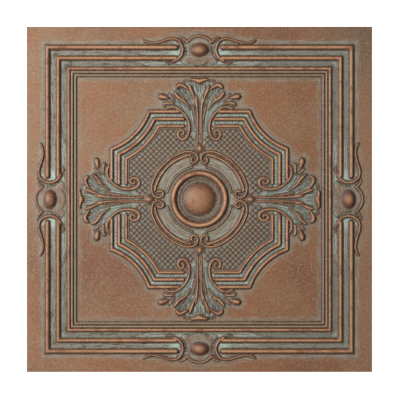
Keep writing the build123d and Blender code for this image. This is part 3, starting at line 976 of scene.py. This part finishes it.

# %% [markdown]
# ### Layers
#
# The coat is painted in the order of the real one: the copper, the haze and the verdigris, the wash, and last the
# rubbed crests. Some layers also carry painted light and shade, as the comments beside them say. A layer is its paint
# and what is multiplied into its amount.

# %% Layers
vein_wash = 0.65
layers = [
    # painted shade: the lower right is made redder and darker
    ("copper_warm", ["warm_clouds"]), ("shaded_copper_red", ["painted_shade_lower_right"]), ("copper_dusk", ["dusky_clouds"]),
    # painted light: the right side is made paler
    ("copper_pale", ["painted_light_right_side"]), ("copper_shade", ["shaded_corner"]), ("copper_grey", ["greyed_grain"]),
    ("copper_pale", ["pale_flecks"]), ("copper_dark", ["dark_flecks"]),
    ("haze", ["near_forms", "haze_patches"]),
    ("verdigris", ["sheltered", "settled_grain", "off_the_foot"]),
    # towards the left the pale verdigris thins and the dark one thickens: partly uneven verdigris, partly painted
    # shade
    ("verdigris_pale", ["out_of_corners", "pale_streaks", "thinner_and_shaded_at_left", "with_shelter", "within_reach"]),
    ("verdigris_dark", ["sheltered", "murky_patches", "murky_streaks", "murkier_and_shaded_at_left"]),
    ("red_brown", ["plate", "bare_patches"]),
    ("verdigris_thick", ["pool", "pool_edge", "pool_streaks"]),
    ("haze", ["diaper", "diaper_grain"]), ("net_wash", ["grooves", "groove_specks"]),
    # the veins take the brown wash; at the foot of each form the dark line is the wash widened with painted shade
    ("wash_and_painted_shade", ["vein", vein_wash]), ("wash_and_painted_shade", ["wash_and_shade_at_foot", "foot_specks"]),
    ("red_brown", ["form_sides", "less_if_dull"]),
    # painted shade: the rubbed crests are duller towards the left, nearest the lamp
    ("rubbed_crest", ["crest_line", "crest_specks", "crests_shaded_at_left"]),
    ("dull_crest", ["dull", "dull_line", "dull_specks"]),
    ("crest", ["raised", "bright_flecks"]), ("copper_dark", ["raised", "brown_flecks"])]
rubbed = {0: signals["well_rubbed"], 6: paints["crest_worn"], 7: paints["crest"]}
paints["rubbed_crest"] = add_node(coat, "ShaderNodeMix", rubbed, data_type="RGBA").outputs[2]

colour = paints["copper"]
for paint, factors in layers:
    amount, *more = [signals.get(factor, factor) for factor in factors]
    for factor in more:
        amount = add_node(coat, "ShaderNodeMath", {0: amount, 1: factor}, operation="MULTIPLY").outputs[0]
    colour = add_node(coat, "ShaderNodeMix", {0: amount, 6: colour, 7: paints[paint]}, data_type="RGBA").outputs[2]
print("layers:", len(layers))

# %% Surface of the coat
surface = {0: signals["tooth"], 2: signals["grain"], 3: signals["speck"]}
height = add_node(coat, "ShaderNodeMix", surface).outputs[0]
bump = add_node(coat, "ShaderNodeBump", {"Height": height, "Strength": 0.4, "Distance": 0.6 * MM})
shader = coat.nodes["Principled BSDF"]
coat.links.new(colour, shader.inputs["Base Color"])
coat.links.new(signals["satin"], shader.inputs["Roughness"])
coat.links.new(bump.outputs["Normal"], shader.inputs["Normal"])
tile_mesh.materials.append(copper_finish)
print("nodes in the finish:", len(coat.nodes))


# %% [markdown]
# ## Floor and light
#
# The tile lies on a plain white studio floor. A large soft lamp stands high to the upper left, so each ridge is
# bright on that side and dark on the other, and the far corner of the tile gets a little less light. The world adds
# an even fill. The floor is a board with matt white paint, so it has no sheen. It and the world show white to the
# camera, and the floor still takes the tile's thin shadow.

# %% Floor
floor_half = 6.0
floor_drop = 0.2 * MM  # just under the tile, so that the two don't flicker
floor_mesh = bpy.data.meshes.new("floor")
floor_corners = [(x * floor_half, y * floor_half, 0) for x, y in ((-1, -1), (1, -1), (1, 1), (-1, 1))]
floor_mesh.from_pydata(floor_corners, [], [(0, 1, 2, 3)])
floor = bpy.data.objects.new("floor", floor_mesh)
floor.location.z = -floor_drop
bpy.context.collection.objects.link(floor)
floor_paint = bpy.data.materials.new("matt_white_floor")
floor_paint.use_nodes = True
floor_shader = floor_paint.node_tree.nodes["Principled BSDF"]
floor_shader.inputs["Base Color"].default_value = linear("#F4F4F4")
floor_shader.inputs["Roughness"].default_value = 0.9
floor_shader.inputs["Emission Color"].default_value = linear("#FFFFFF")
floor_glow = 0.8
seen = add_node(floor_paint.node_tree, "ShaderNodeLightPath").outputs["Is Camera Ray"]
glow = add_node(floor_paint.node_tree, "ShaderNodeMath", {0: seen, 1: floor_glow}, operation="MULTIPLY")
floor_paint.node_tree.links.new(glow.outputs[0], floor_shader.inputs["Emission Strength"])
floor_mesh.materials.append(floor_paint)

# %% Lamp and world
lamp_data = bpy.data.lights.new("window_lamp", "AREA")
lamp_data.shape = "DISK"
lamp_data.size = 0.8
lamp_data.energy = 59.0
lamp = bpy.data.objects.new("window_lamp", lamp_data)
lamp.location = (-1.7, 0.5, 1.55)
lamp.rotation_euler = (Vector((0, 0, 0)) - lamp.location).to_track_quat("-Z", "Y").to_euler()
bpy.context.collection.objects.link(lamp)

fill_strength = 0.26
world = bpy.data.worlds.new("studio_fill")
bpy.context.scene.world = world
world.use_nodes = True
background = world.node_tree.nodes["Background"]
background.inputs["Color"].default_value = linear("#FFFFFF")
camera_sees = add_node(world.node_tree, "ShaderNodeLightPath").outputs["Is Camera Ray"]
fill = add_node(world.node_tree, "ShaderNodeMapRange", {0: camera_sees, 3: fill_strength, 4: 1.0})
world.node_tree.links.new(fill.outputs["Result"], background.inputs["Strength"])

view = bpy.context.scene.view_settings
view.view_transform = "Standard"
print("lamp, W:", lamp_data.energy)
